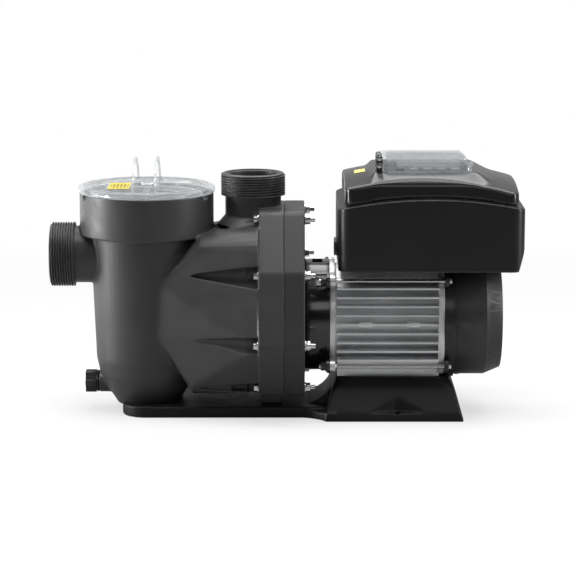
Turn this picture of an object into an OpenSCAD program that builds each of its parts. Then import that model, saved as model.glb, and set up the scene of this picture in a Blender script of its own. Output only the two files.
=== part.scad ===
// Self-priming pool pump: strainer pot, wet end, air-cooled motor and speed controller.
// Frame: +X towards the fan end, +Y away from the operator side, +Z up.
// Origin on the underside of the base, below the joint between the two flanges.

/* [Strainer pot] */
// Distance of the pot axis from the flange joint
pot_x = -160.4; // [-170:0.2:-155]
// Outer radius of the collar around the lid
collar_r = 78.15; // [76:0.05:80]
// Height of the top of the collar
collar_top = 258; // [256:0.5:260]
// Height of the underside of the collar
collar_bottom = 209; // [205:0.5:212]
// Radius of the clear lid's rim
lid_r = 80; // [79:0.5:82]
// Height of the top of the lid's handle arches
arch_top = 299; // [290:0.5:305]
// Distance between the two handle arches
arch_gap = 26.6; // [22:0.2:30]
// Number of slots around the basket
basket_slots = 16; // [8:1:20]

/* [Ports] */
// Crest radius of the port threads
thread_r = 37.6; // [36:0.1:38]
// Radius of the port bores
bore_r = 28; // [24:0.5:29]
// Pitch of the port threads
thread_pitch = 3; // [3:0.5:4]
// Height of the suction port's axis
suction_z = 183.6; // [180:0.2:186]
// End of the suction port
suction_end = -273; // [-276:0.5:-270]
// Position of the discharge port's axis
discharge_x = -36; // [-38:0.5:-35]
// Height of the top of the discharge port
discharge_top = 280; // [278:0.5:284]

/* [Wet end] */
// Height of the shaft axis
axis_z = 112; // [111.5:0.5:112.5]
// Radius of the flange bosses around the bolts
boss_r = 10; // [9:0.5:11]
// Thickness of the housing's flange
front_flange_t = 29; // [26:0.5:30]
// Thickness of the seal plate
seal_plate_t = 24; // [22:0.5:26]
// Radius of the impeller
impeller_r = 60; // [50:1:66]
// Number of impeller vanes
impeller_vanes = 6; // [5:1:8]

/* [Motor] */
// Radius of the bracket between pump and motor
bracket_r = 65.2; // [63:0.1:66]
// Start of the finned frame
frame_x0 = 59.5; // [59:0.5:60]
// End of the finned frame
frame_x1 = 185; // [184.5:0.5:186]
// Half the width across the frame's fins
fin_tip = 70; // [67:0.5:72]
// Radius of the fan cover
fan_cover_r = 70; // [68:0.5:71]
// End of the fan cover
fan_cover_end = 252.7; // [250:0.1:254]
// Number of fan blades
fan_blades = 9; // [6:1:11]
// Shaft radius at the bearings
shaft_r = 8.47; // [8.4:0.01:8.49]

/* [Base] */
// Height of the base plate
base_h = 13; // [13:0.5:13]
// Half the width of the base plate
base_half_w = 60; // [56:1:64]
// Half the width of the motor foot
foot_half_w = 80; // [78:1:82]
// Height of the motor foot
foot_h = 47; // [47:0.5:47]
// Distance between the two fixing holes
foot_hole_gap = 146; // [145:0.5:147]
// Radius of the fixing holes
foot_hole_r = 4.5; // [4:0.25:5]

/* [Controller] */
// Left end of the controller
ctrl_x0 = 62; // [61:0.5:63]
// Right end of the controller
ctrl_x1 = 275; // [273:0.5:277]
// Half the depth of the controller
ctrl_half_y = 90; // [88:0.5:92]
// Height of the controller's lower edge
ctrl_bottom = 176; // [175:0.5:177]
// Height of the seam at its middle
seam_top = 260; // [259:0.5:261]
// Drop of the seam from its middle to its ends
seam_drop = 11.5; // [10:0.5:13]
// Height of the top of the controller's deck
deck_top = 290; // [289:0.5:290.5]
// Height of the display surround
bezel_top = 288; // [288:0.5:288]
// Height of the top of the clear display cover
flip_top = 299; // [297:0.5:301]
// Radius of a push button
button_r = 5; // [4:0.5:5.5]

/* [Hidden] */
$fn = 72;
eps = 0.1;

// Flange bolts: distance from the centre plane and height above the shaft axis
bolt_half = [[43, 119], [86, 60], [103, -18], [58, -76]];
bolt_at = concat(bolt_half, [for (b = bolt_half) [-b[0], b[1]]]);
// Tie rods of the motor
rod_at = [[62, 50], [-62, 50], [62, -50], [-62, -50]];
fin_z = [0, 10.7, -10.7, 21.3, -21.3, 31.5, -31.5, 42, -42];
drain_z = 32;
drain_x = -218;
seam_half = (ctrl_x1 - ctrl_x0) / 2;
seam_x = (ctrl_x1 + ctrl_x0) / 2;
seam_r = (seam_half * seam_half + seam_drop * seam_drop) / (2 * seam_drop);
deck_r = 390;
deck_x = 157;
pin_x = 109.2;
pin_z = 303.6;
pin_low_z = 295;
foot_mid_x = 131;
button_x = [134, 150, 166, 182, 198];

// ---------- shared shapes ----------

// Solid of revolution along X about the shaft axis, or about [y, z]
module xcyl(r, x0, x1, y = 0, z = axis_z) translate([x0, y, z]) rotate([0, 90, 0]) cylinder(r = r, h = x1 - x0);
module xcone(r0, r1, x0, x1, y = 0, z = axis_z) translate([x0, y, z]) rotate([0, 90, 0]) cylinder(r1 = r0, r2 = r1, h = x1 - x0);
module xring(ro, ri, x0, x1, y = 0, z = axis_z) difference() { xcyl(ro, x0, x1, y, z); xcyl(ri, x0 - 1, x1 + 1, y, z); }
// Solid of revolution about the shaft axis from a profile of [radius, x] points
module xrev(pts) translate([0, 0, axis_z]) rotate([0, 90, 0]) rotate_extrude() polygon(pts);
module ycyl(r, y0, y1, x, z) translate([x, y1, z]) rotate([90, 0, 0]) cylinder(r = r, h = y1 - y0);
module box(x0, x1, y0, y1, z0, z1) translate([x0, y0, z0]) cube([x1 - x0, y1 - y0, z1 - z0]);
module xtorus(rr, r, x) translate([x, 0, axis_z]) rotate([0, 90, 0]) rotate_extrude() translate([rr, 0]) circle(r = r);
// Hexagonal bar along X
module xhex(af, x0, x1, y, z) translate([x0, y, z]) rotate([0, 90, 0]) cylinder(r = af / sqrt(3), h = x1 - x0, $fn = 6);
// Upright prism with rounded corners
module rbox(x0, x1, y0, y1, z0, z1, r) {
    box(x0 + r, x1 - r, y0, y1, z0, z1);
    box(x0, x1, y0 + r, y1 - r, z0, z1);
    for (x = [x0 + r, x1 - r], y = [y0 + r, y1 - r]) translate([x, y, z0]) cylinder(r = r, h = z1 - z0);
}
// Ribbed thread sleeve along +Z: crests and roots drawn as rings
function thread_pts(ro, depth, pitch, n) = concat(
    [[ro - depth - 2, 0], [ro - depth, 0]],
    [for (i = [0 : n - 1]) each [[ro - depth, (i + 0.15) * pitch], [ro, (i + 0.38) * pitch], [ro, (i + 0.62) * pitch], [ro - depth, (i + 0.85) * pitch]]],
    [[ro - depth, n * pitch + 1.5], [ro - depth - 2, n * pitch + 3.4]]);
module thread_sleeve(ro, depth, pitch, n) rotate_extrude() polygon(concat([[0, 0]], thread_pts(ro, depth, pitch, n), [[0, n * pitch + 3.4]]));

// ---------- wet end ----------

// Outline of the flanges: straight sides tangent to a boss round every bolt
function unit2(v) = v / norm(v);
function side_normal(p, q) = let (d = unit2(q - p)) [-d[1], d[0]];
ring_pts = [[43, 119], [86, 60], [103, -18], [58, -76], [-58, -76], [-103, -18], [-86, 60], [-43, 119]];
function offset_pts(r) = [for (i = [0 : 7]) let (p = ring_pts[i], q = ring_pts[(i + 1) % 8], n = side_normal(p, q)) each [p + r * n, q + r * n]];
module flange_shape(x0, x1) {
    translate([x0, 0, axis_z]) rotate([90, 0, 90]) linear_extrude(x1 - x0) polygon(offset_pts(boss_r));
    for (b = bolt_at) xcyl(boss_r, x0, x1, b[0], axis_z + b[1]);
}

// Cone from point a to point b, opening to radius r
module spike(a, b, r) {
    d = b - a;
    translate(a) rotate([0, acos(d[2] / norm(d)), atan2(d[1], d[0])]) cylinder(r1 = 0.4, r2 = r, h = norm(d), $fn = 48);
}
module volute_body() difference() {
    hull() {
        for (y = [-53, 53], z = [99, 155]) xcyl(8, -146, -145, y, z, $fn = 24);
        for (y = [-46, 46]) {
            xcyl(22, -97, -96, y, 190, $fn = 32);
            xcyl(22, -106, -105, y, 49, $fn = 32);
            xcyl(38, -30, -29, y * 56 / 46, 186, $fn = 32);
        }
        for (b = bolt_half, s = [-1, 1]) if (b[1] < 100) xcyl(7, -30, -29, s * b[0], axis_z + b[1], $fn = 24);
    }
    // tapered channels that lead to the bolt heads
    for (s = [-1, 1]) {
        spike([-116, s * 66, 169], [-20, s * 98, 171.5], 15);
        spike([-118, s * 75, 96], [-20, s * 114, 93], 13);
        spike([-106, s * 62, 37], [-20, s * 68, 35], 11.5);
    }
}

module pot_outer() translate([pot_x, 0, 0]) rotate_extrude() polygon([[0, 8], [36, 8], [39, 12.8], [47.6, 26],
    [56, 42.6], [60.5, 62], [66, collar_bottom], [collar_r, collar_bottom], [collar_r, collar_top], [0, collar_top]]);
module pot_inner() translate([pot_x, 0, 0]) rotate_extrude() polygon([[0, 14], [33, 14], [43, 28], [51.5, 44],
    [55.8, 63], [61.2, collar_bottom], [61.2, 214], [73, 214], [73, collar_top + 1], [0, collar_top + 1]]);

module strainer_housing() color([0.16, 0.16, 0.17]) difference() {
    union() {
        pot_outer();
        volute_body();
        flange_shape(-front_flange_t, 0);
        // suction neck and thread
        xcyl(33.2, -246, pot_x - 40, 0, suction_z);
        translate([-244, 0, suction_z]) rotate([0, -90, 0]) thread_sleeve(thread_r, 1.5, thread_pitch, 8);
        xcyl(thread_r - 2, suction_end, -260, 0, suction_z);
        // discharge neck and thread
        translate([discharge_x, 0, 190]) cylinder(r = 32.6, h = 70);
        translate([discharge_x, 0, 220]) cylinder(r1 = 42, r2 = 32.6, h = 11);
        translate([discharge_x, 0, 254]) thread_sleeve(thread_r, 1.5, thread_pitch, 7);
        translate([discharge_x, 0, 256]) cylinder(r = thread_r - 2, h = discharge_top - 256);
        // gusset between collar and discharge neck
        box(-86, discharge_x, -2.5, 2.5, 200, 219);
        // foot on the base plate
        box(-27, -2, -42, 42, base_h, 44);
        // drain boss
        xcyl(13, drain_x, -195, 0, drain_z);
    }
    pot_inner();
    // suction bore with its pipe stop
    xcyl(bore_r, suction_end - 1, -240, 0, suction_z);
    xcyl(bore_r - 2, -241, pot_x - 50, 0, suction_z);
    // discharge bore with its pipe stop
    translate([discharge_x, 0, discharge_top - 40]) cylinder(r = bore_r, h = 50);
    translate([discharge_x, 0, 180]) cylinder(r = bore_r - 2, h = 70);
    // eye of the volute and the volute chamber
    xcyl(24, -112, -90);
    xcone(55, 78, -94, -50);
    xcyl(78, -50 - eps, 1);
    // bolt channels and bolt holes
    for (b = bolt_at) {
        xcyl(9, b[1] > 100 ? -76 : -42, -front_flange_t, b[0], axis_z + b[1]);
        xcyl(3.4, -60, 1, b[0], axis_z + b[1]);
    }
    // notches of the lid's bayonet
    for (a = [26, 154, 206, 334]) translate([pot_x, 0, collar_top - 5]) rotate([0, 0, a]) translate([70, -5, 0]) cube([12, 10, 6]);
    // drain hole
    xcyl(9.5, drain_x - 1, -190, 0, drain_z);
    box(0, 12, -50, 50, 205, 250);
    // base screw pilots
    for (y = [-30, 30]) translate([-14.5, y, base_h - 1]) cylinder(r = 1.98, h = 10);
}

module strainer_lid() color([0.85, 0.88, 0.9, 0.45]) translate([pot_x, 0, 0]) {
    rotate_extrude() polygon([[0, 257], [63, 257], [63, 259], [67, 259], [67, 246], [72.6, 246], [72.6, 249.6],
        [69.8, 249.6], [69.8, 253.2], [72.6, 253.2], [72.6, 258], [lid_r, 258], [lid_r, 264], [78, 266],
        [71, 266], [69.5, 264], [65, 264], [63, 262], [0, 262]]);
    // two handle arches from the front to the back of the lid
    for (s = [-1, 1]) intersection() {
        translate([s * arch_gap / 2 - 1.75, 0, arch_top - 75]) rotate([0, 90, 0]) difference() {
            cylinder(r = 75, h = 3.5);
            translate([0, 0, -1]) cylinder(r = 69.5, h = 6);
        }
        box(-30, 30, -66, 66, 258.5, arch_top + 1);
    }
    // bosses at the feet of the arches
    for (s = [-1, 1], t = [-1, 1]) translate([s * arch_gap / 2, t * 62.5, 260]) cylinder(r = 3.6, h = 5);
}

module lid_o_ring() color([0.08, 0.08, 0.08]) translate([pot_x, 0, 251.4]) rotate_extrude() translate([71.4, 0]) circle(r = 1.5);

module lid_label() color([0.93, 0.85, 0.2]) translate([pot_x, 0, 0]) box(-45, -20, -12, 40, 262, 262.4);

module strainer_basket() color([0.75, 0.76, 0.77]) translate([pot_x, 0, 0]) {
    difference() {
        rotate_extrude() polygon([[0, 30], [38, 30], [50, 52], [59.6, 206], [60.3, 215], [70.8, 215], [71, 240], [72.5, 240],
            [72.5, 243.5], [68.8, 243.5], [68.6, 217.2], [58.4, 217.2], [57.4, 206], [47.8, 53], [36.6, 32.4], [0, 32.4]]);
        for (i = [0 : basket_slots - 1]) rotate([0, 0, i * 360 / basket_slots + 360 / basket_slots / 2]) {
            for (z = [64, 101, 138, 175]) if (z < 130 || abs((i + 0.5) * 360 / basket_slots - 180) > 40) box(40, 66, -3, 3, z, z + 27);
            box(62, 76, -3, 3, 222, 236);
        }
        // inlet opening on the suction side
        translate([-80, 0, 178]) rotate([0, 90, 0]) cylinder(r = 22, h = 36);
    }
    // perforated collar that stands up under the lid
    difference() {
        rotate_extrude() polygon([[63.5, 215.6], [65, 215.6], [65, 255.5], [63.5, 255.5]]);
        for (i = [0 : basket_slots - 1]) rotate([0, 0, (i + 0.5) * 360 / basket_slots]) {
            box(60, 68, -3, 3, 222, 236);
            box(60, 68, -3, 3, 241, 252);
        }
    }
    // moulded lifting handle
    difference() {
        intersection() {
            translate([-4, 0, 167]) rotate([0, 90, 0]) cylinder(r = 72, h = 8);
            box(-5, 5, -58.6, 58.6, 195, 241);
        }
        translate([-6, 0, 167]) rotate([0, 90, 0]) cylinder(r = 67, h = 12);
    }
}

module drain_plug() color([0.1, 0.1, 0.1]) difference() {
    union() {
        xcyl(11.2, -234, drain_x - 3.2, 0, drain_z);
        xcyl(9.4, drain_x - 3.3, -206, 0, drain_z);
        for (i = [0 : 5]) xcyl(3.8, -234, drain_x - 3.3, 10.1 * cos(i * 60), drain_z + 10.1 * sin(i * 60));
    }
    xcyl(7.4, -235, -230, 0, drain_z);
}
module drain_plug_o_ring() color([0.06, 0.06, 0.06]) translate([drain_x - 1.6, 0, drain_z]) rotate([0, 90, 0]) rotate_extrude() translate([11.2, 0]) circle(r = 1.55);

module seal_plate() color([0.14, 0.14, 0.15]) difference() {
    flange_shape(0, seal_plate_t);
    xring(84.2, 80.2, -1, 3.6);
    xcyl(76, -1, 12);
    xcyl(17, -1, 14);
    xcyl(11, 10, seal_plate_t + 1);
    // coring of the rear face, outside the bracket
    difference() {
        xcyl(79, 17, seal_plate_t + 1);
        xcyl(67, 16, seal_plate_t + 2);
    }
    xcyl(46, 17, seal_plate_t + 1);
    for (b = bolt_at) xcyl(3.4, -1, seal_plate_t + 1, b[0], axis_z + b[1]);
    for (a = [45 : 90 : 315]) xcyl(2.1, 13, seal_plate_t + 1, 52 * cos(a), axis_z + 52 * sin(a));
}
module housing_o_ring() color([0.06, 0.06, 0.06]) xtorus(82.2, 1.75, 1.8);

module flange_bolts() color([0.75, 0.75, 0.76]) for (b = bolt_at) {
    y = b[0]; z = axis_z + b[1];
    xhex(10, -front_flange_t - 5.6, -front_flange_t - 1.2, y, z);
    xcyl(3, -front_flange_t - 2, seal_plate_t + 12, y, z);
}
module flange_washers() color([0.78, 0.78, 0.79]) for (b = bolt_at) {
    xring(6.4, 3.05, -front_flange_t - 1.2, -front_flange_t, b[0], axis_z + b[1]);
    xring(6.4, 3.05, seal_plate_t, seal_plate_t + 1.2, b[0], axis_z + b[1]);
}
module flange_nuts() color([0.72, 0.72, 0.73]) for (b = bolt_at) difference() {
    xhex(10, seal_plate_t + 1.2, seal_plate_t + 6.4, b[0], axis_z + b[1]);
    xcyl(3.02, seal_plate_t, seal_plate_t + 8, b[0], axis_z + b[1]);
}

module diffuser() color([0.2, 0.2, 0.21]) difference() {
    union() {
        xcyl(23.8, -104, -62);
        xcone(30, 74, -66, -40);
        xcyl(74, -40 - eps, -0.3);
        for (a = [0 : 40 : 320]) translate([0, 0, axis_z]) rotate([a, 0, 0]) box(-34, -6, -1.5, 1.5, 72, 76.9);
    }
    xcyl(21, -105, -50);
    xcone(26, 71, -62.5, -37);
    xcyl(71, -37 - eps, 1);
    // outlet slots between the diffuser vanes
    for (a = [20 : 40 : 340]) translate([0, 0, axis_z]) rotate([a, 0, 0]) box(-33, -8, -14, 14, 60, 78);
}

module impeller() color([0.55, 0.5, 0.42]) {
    // hub and rear shroud
    xrev([[6.02, -40], [14, -40], [14, -20], [18, -16], [impeller_r, -16], [impeller_r, -13], [14, -13], [14, -8], [6.02, -8]]);
    // eye ring and front shroud
    xrev([[18, -58], [20.4, -58], [20.4, -31], [impeller_r, -31], [impeller_r, -28.5], [18, -28.5]]);
    // curved vanes
    for (i = [0 : impeller_vanes - 1]) translate([0, 0, axis_z]) rotate([i * 360 / impeller_vanes, 0, 0]) intersection() {
        xring(38, 35.6, -28.7, -15.8, 26, 0);
        xring(impeller_r - 0.4, 19, -28.9, -15.6, 0, 0);
        box(-30, -14, -70, 70, 0.5, 70);
    }
}
module impeller_screw() color([0.7, 0.7, 0.7]) { xhex(10, -47, -42.5, 0, axis_z); xcyl(7, -42.5, -40.1); }
module seal_seat() color([0.9, 0.9, 0.88]) { xring(14, 9.6, 6.2, 13.9); xring(16.9, 14, 7, 13.8); }
module seal_head() color([0.3, 0.3, 0.3]) { xring(14, 8.5, 0.5, 6.1); xring(13, 8.5, -7.8, -5.6); }
module seal_spring() color([0.7, 0.7, 0.7]) for (i = [0 : 3]) xtorus(11.6, 0.6, -4.4 + i * 1.35);

// ---------- motor ----------

module rod_lugs(r, x0, x1) for (p = rod_at) {
    xcyl(r, x0, x1, p[0], axis_z + p[1]);
    box(x0, x1, p[0] > 0 ? 36 : p[0], p[0] > 0 ? p[0] : -36, axis_z + p[1] - r + 1, axis_z + p[1] + r - 1);
}
module motor_bracket() color([0.06, 0.06, 0.06]) difference() {
    union() {
        difference() { xcyl(bracket_r, seal_plate_t, 53); xcyl(58, 29, 49); }
        rod_lugs(8, 49.5, 53);
    }
    xcyl(46, seal_plate_t - 1, 54);
    for (r = rod_at) xcyl(2.7, 48, 54, r[0], axis_z + r[1]);
    for (a = [45 : 90 : 315]) xcyl(2.7, seal_plate_t - 1, 30, 52 * cos(a), axis_z + 52 * sin(a));
    // window slots in the top and bottom walls
    for (s = [-1, 1]) box(33, 45, -13, 13, axis_z + (s > 0 ? 50 : -70), axis_z + (s > 0 ? 70 : -50));
}
module bracket_screws() color([0.7, 0.7, 0.7]) for (a = [45 : 90 : 315]) {
    xcyl(4.4, 29, 33, 52 * cos(a), axis_z + 52 * sin(a));
    xcyl(2.02, 18, 29, 52 * cos(a), axis_z + 52 * sin(a));
}
module front_endshield() color([0.72, 0.73, 0.74]) difference() {
    union() {
        xrev([[11, 53], [65, 53], [65, frame_x0], [56.9, frame_x0], [56.9, 66], [53, 66], [53, 57], [25, 57], [25, 71], [20.02, 71],
            [20.02, 58], [11, 58]]);
        rod_lugs(7.5, 53, frame_x0);
    }
    for (r = rod_at) xcyl(2.7, 50, 61, r[0], axis_z + r[1]);
}
module bearing(x0) {
    xring(20, 17, x0, x0 + 12);
    xring(11.5, 8.5, x0, x0 + 12);
    for (i = [0 : 7]) translate([x0 + 6, 14.25 * cos(i * 45), axis_z + 14.25 * sin(i * 45)]) sphere(r = 2.72);
}
module front_bearing() color([0.8, 0.8, 0.82]) bearing(58.2);
module rear_bearing() color([0.8, 0.8, 0.82]) bearing(177.6);
module motor_shaft() color([0.78, 0.78, 0.8]) {
    xcyl(6, -40, -8);
    xcyl(shaft_r, -8, 191);
    xcyl(7, 191, 237);
}
module rotor_core() color([0.5, 0.5, 0.52]) xring(31.4, shaft_r + 0.01, 86, 146);
module stator_core() color([0.45, 0.45, 0.47]) difference() {
    xring(56.95, 32, 86, 146);
    for (a = [0 : 20 : 340]) translate([0, 0, axis_z]) rotate([a, 0, 0]) box(85, 147, -2.2, 2.2, 30, 48);
}
module stator_windings() color([0.72, 0.42, 0.2]) {
    xring(51, 35, 74, 85.9);
    xring(51, 35, 146.1, 160);
    for (a = [0 : 20 : 340]) translate([0, 0, axis_z]) rotate([a, 0, 0]) box(85.8, 146.2, -2.1, 2.1, 35.4, 47.8);
}
module stator_frame() color([0.7, 0.71, 0.72]) difference() {
    union() {
        xcyl(61, frame_x0, frame_x1);
        for (z = fin_z) box(frame_x0 + 1.5, 178.5, -fin_tip, fin_tip, axis_z + z - 1.1, axis_z + z + 1.1);
        // rim at the fan end
        intersection() {
            xcyl(76, 178, frame_x1);
            box(178, frame_x1, -fin_tip - 1, fin_tip + 1, axis_z - 62, axis_z + 62);
        }
        // pad under the controller and pad on the foot
        box(66, 180, -42, 42, 150, 190);
        box(62, 180, -45, 45, foot_h, 70);
        // bosses on the middle fins
        for (x = [94, 149], s = [-1, 1]) box(x - 7.5, x + 7.5, s * 62 - 8, s * 62 + 8, axis_z - 2.4, axis_z + 2.4);
    }
    xcyl(57, frame_x0 - 1, frame_x1 + 1);
    for (r = rod_at) xcyl(2.9, 58, 191, r[0], axis_z + r[1]);
    // lead passage to the controller
    translate([124, 0, 160]) cylinder(r = 9, h = 31);
    // screw holes in both pads
    for (x = [82, 164], y = [-30, 30]) {
        translate([x, y, 180]) cylinder(r = 1.98, h = 11);
        translate([x, y, foot_h - 1]) cylinder(r = 2.48, h = 9);
    }
}
module rear_endshield() color([0.09, 0.09, 0.09]) difference() {
    union() {
        xcyl(73, frame_x1, 201);
        xcyl(56.9, 181, frame_x1 + eps);
        xcyl(25, 174.5, 201);
        xring(67.4, 63.5, 200, 208);
        for (r = rod_at) xcyl(8, frame_x1, 190, r[0], axis_z + r[1]);
    }
    difference() { xcyl(52, 180, 197); xcyl(25, 179, 198); }
    xcyl(20.02, 174, 189.8);
    xcyl(10, 173, 202);
    for (r = rod_at) xcyl(2.7, 180, 202, r[0], axis_z + r[1]);
    // step that carries the fan cover
    xring(80, 67.4, 198, 202);
    for (a = [0, 180, 270]) translate([204, 0, axis_z]) rotate([a, 0, 0]) translate([0, 0, 60]) cylinder(r = 1.95, h = 20);
}
module tie_rods() color([0.75, 0.75, 0.76]) for (r = rod_at) {
    xcyl(2.5, 40.5, 190.5, r[0], axis_z + r[1]);
    xhex(7, 190, 193.4, r[0], axis_z + r[1]);
}
module tie_rod_nuts() color([0.12, 0.12, 0.12]) for (r = rod_at) difference() {
    union() {
        xhex(9, 42.5, 48, r[0], axis_z + r[1]);
        xcyl(6.5, 48, 49.5, r[0], axis_z + r[1]);
    }
    xcyl(2.52, 41, 50, r[0], axis_z + r[1]);
}
module cooling_fan() color([0.15, 0.15, 0.16]) difference() {
    union() {
        xcyl(15, 213, 236);
        xcyl(34, 213, 215.5);
        for (i = [0 : fan_blades - 1]) translate([0, 0, axis_z]) rotate([i * 360 / fan_blades, 0, 0]) box(213, 233, -1.2, 1.2, 13, 60);
    }
    xcyl(7.01, 212, 240);
}
module fan_cover() color([0.16, 0.16, 0.17]) difference() {
    union() {
        xcyl(fan_cover_r, 198, 234);
        xcone(fan_cover_r, 62, 234 - eps, fan_cover_end);
    }
    xcyl(67.5, 197, 234);
    xcone(67.5, 60.2, 234 - 2 * eps, fan_cover_end - 2.6);
    // air grille
    for (z = [-48 : 8 : 48]) {
        h = sqrt(54 * 54 - z * z);
        box(245, 256, -h, -3, axis_z + z - 2, axis_z + z + 2);
        box(245, 256, 3, h, axis_z + z - 2, axis_z + z + 2);
    }
    // clearance round the lugs of the endshield
    for (r = rod_at) xcyl(8.6, 197, 206, r[0], axis_z + r[1]);
    for (a = [0, 180, 270]) translate([204, 0, axis_z]) rotate([a, 0, 0]) translate([0, 0, 60]) cylinder(r = 2.1, h = 20);
}
module fan_cover_screws() color([0.6, 0.6, 0.6]) for (a = [0, 180, 270]) translate([204, 0, axis_z]) rotate([a, 0, 0]) {
    translate([0, 0, 70.1]) cylinder(r = 3.2, h = 1.8);
    translate([0, 0, 62]) cylinder(r = 1.9, h = 8.2);
}

// ---------- base ----------

module foot_block() hull() {
    box(46.5, 208, -foot_half_w - 0.5, foot_half_w + 0.5, 0, 0.5);
    box(49, 204, -foot_half_w + 2, foot_half_w - 2, 9, 10);
    box(56, 198.5, -60, 60, 33, 34);
    translate([0, 0, foot_h - 3]) linear_extrude(3) polygon([[76, -52], [176, -52], [190, -38], [190, 38], [176, 52], [76, 52], [62, 38], [62, -38]]);
}
module base() color([0.12, 0.12, 0.12]) difference() {
    union() {
        box(-159, 60, -base_half_w, base_half_w, 0, base_h);
        box(-189, -158, -30, 30, 0, base_h);
        for (y = [-30, 30]) translate([-159, y, 0]) cylinder(r = 30, h = base_h);
        foot_block();
        // flare of the plate and ramp up to the foot
        linear_extrude(10) polygon([[20, -59], [27, -61], [34, -64], [41, -70], [50, -80], [60, -80], [60, 80], [50, 80], [41, 70], [34, 64], [27, 61], [20, 59]]);
        translate([0, 40, 0]) rotate([90, 0, 0]) linear_extrude(80) polygon([[28, 12], [28, 13.2], [38, 16], [47, 22.5], [55, 32], [62, 44], [66, 47], [70, 47], [70, 12]]);
    }
    // dish for the pot
    translate([pot_x, 0, 8]) rotate_extrude() polygon([[0, 0], [37, 0], [44, 10], [0, 10]]);
    // room for the motor's fan end
    xcyl(74.5, 183.5, 215);
    // hollow underside
    box(-104, -30, -52, 52, -1, 8);
    box(8, 44, -52, 52, -1, 8);
    hull() {
        box(55, 198, -62, 62, -1, 0);
        box(70, 182, -46, 46, foot_h - 6, foot_h - 5);
    }
    // notches and holes for the two floor bolts
    for (s = [-1, 1]) {
        translate([foot_mid_x, s * 67, 10]) linear_extrude(50) polygon([[0, 0], [46, s * 14.05], [-46, s * 14.05]]);
        translate([foot_mid_x, s * foot_hole_gap / 2, -1]) cylinder(r = foot_hole_r, h = 12);
        box(foot_mid_x - 5, foot_mid_x + 5, s * 68 - 1, s * 68 + 1, 10, 40);
    }
    // screw holes to the housing and to the motor
    for (y = [-30, 30]) {
        translate([-14.5, y, -1]) cylinder(r = 2.3, h = 20);
        translate([-14.5, y, -1]) cylinder(r = 5, h = 6);
    }
    for (x = [82, 164], y = [-30, 30]) translate([x, y, 30]) cylinder(r = 2.8, h = 20);
}
module base_screws() color([0.7, 0.7, 0.7]) for (y = [-30, 30]) translate([-14.5, y, 0]) {
    translate([0, 0, 2]) cylinder(r = 4.2, h = 3);
    translate([0, 0, 5]) cylinder(r = 1.96, h = 14);
}
module motor_foot_screws() color([0.7, 0.7, 0.7]) for (x = [82, 164], y = [-30, 30]) translate([x, y, 0]) {
    translate([0, 0, foot_h - 9]) cylinder(r = 4.6, h = 3.9);
    translate([0, 0, foot_h - 5.2]) cylinder(r = 2.45, h = 12);
}

// ---------- controller ----------

module arch_below(r) translate([seam_x, 200, seam_top - seam_r]) rotate([90, 0, 0]) cylinder(r = r, h = 400, $fn = 180);

module controller_tub() color([0.05, 0.05, 0.055]) difference() {
    intersection() {
        rbox(ctrl_x0, ctrl_x1, -ctrl_half_y, ctrl_half_y, ctrl_bottom, 265, 16);
        arch_below(seam_r);
        translate([0, 200, 0]) rotate([90, 0, 0]) linear_extrude(400) polygon([[ctrl_x0, ctrl_bottom], [ctrl_x1 - 7, ctrl_bottom],
            [ctrl_x1, 200], [ctrl_x1, 270], [ctrl_x0, 270]]);
    }
    // space for the electronics
    intersection() {
        rbox(ctrl_x0 + 3, ctrl_x1 - 3, -ctrl_half_y + 3, ctrl_half_y - 3, 193, 265, 13);
        arch_below(seam_r - 3);
    }
    box(ctrl_x0 + 11, ctrl_x1 - 11, -80, 80, 195, 270);
    // open underside over the motor
    rbox(ctrl_x0 + 3, ctrl_x1 - 10, -ctrl_half_y + 3, ctrl_half_y - 3, ctrl_bottom - 1, 190, 13);
    // holes in the floor
    translate([124, 0, 185]) cylinder(r = 9, h = 10);
    for (x = [82, 164], y = [-30, 30]) translate([x, y, 185]) cylinder(r = 2.3, h = 10);
    for (x = [80, 257], y = [-72, 72]) translate([x, y, 185]) cylinder(r = 2.3, h = 10);
    // lead entry and service port
    ycyl(8, 80, 95, 100, 212);
    xcyl(8, 60, 70, -45, 200);
}
module tub_gasket() color([0.1, 0.1, 0.1]) intersection() {
    difference() { arch_below(seam_r + 1); arch_below(seam_r); }
    difference() {
        box(ctrl_x0 + 9, ctrl_x1 - 9, -85, 85, 230, 270);
        box(ctrl_x0 + 13, ctrl_x1 - 13, -79, 79, 220, 280);
    }
}
// The deck is crowned both ways, as part of a large sphere
module deck_ball(r) translate([deck_x, 0, deck_top - deck_r]) sphere(r = r, $fn = 240);
module cover_solid(d) intersection() {
    rbox(ctrl_x0 + 7 + d, ctrl_x1 - 7 - d, -86 + d, 86 - d, 240, 292, 14 - d);
    deck_ball(deck_r - d);
    translate([0, 0, 0]) rotate([90, 0, 90]) linear_extrude(400) polygon([[-86 + d, 240], [-83 + d, 276 - d], [-78 + d, 282], [-60 + d, 292],
        [60 - d, 292], [78 - d, 282], [83 - d, 276 - d], [86 - d, 240]]);
}
module controller_cover() color([0.05, 0.05, 0.055]) difference() {
    union() {
        difference() {
            cover_solid(0);
            difference() {
                cover_solid(3);
                for (x = [80, 257], y = [-72, 72]) translate([x, y, 240]) cylinder(r = 5, h = 40);
            }
        }
        intersection() {
            rbox(103, 221, -60, 60, 276, bezel_top, 6);
            box(100, 225, -70, 70, 270, 300);
        }
    }
    arch_below(seam_r + 1);
    box(116, 212, -52, 52, 285, 300);
    box(122, 206, -42, 42, 270, 300);
    for (x = [80, 257], y = [-72, 72]) translate([x, y, 230]) cylinder(r = 1.48, h = 35);
}
module controller_screws() color([0.7, 0.7, 0.7]) for (x = [80, 257], y = [-72, 72]) translate([x, y, 0]) {
    translate([0, 0, 187.2]) cylinder(r = 3.6, h = 2.8);
    translate([0, 0, 190]) cylinder(r = 1.46, h = 74);
}
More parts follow.
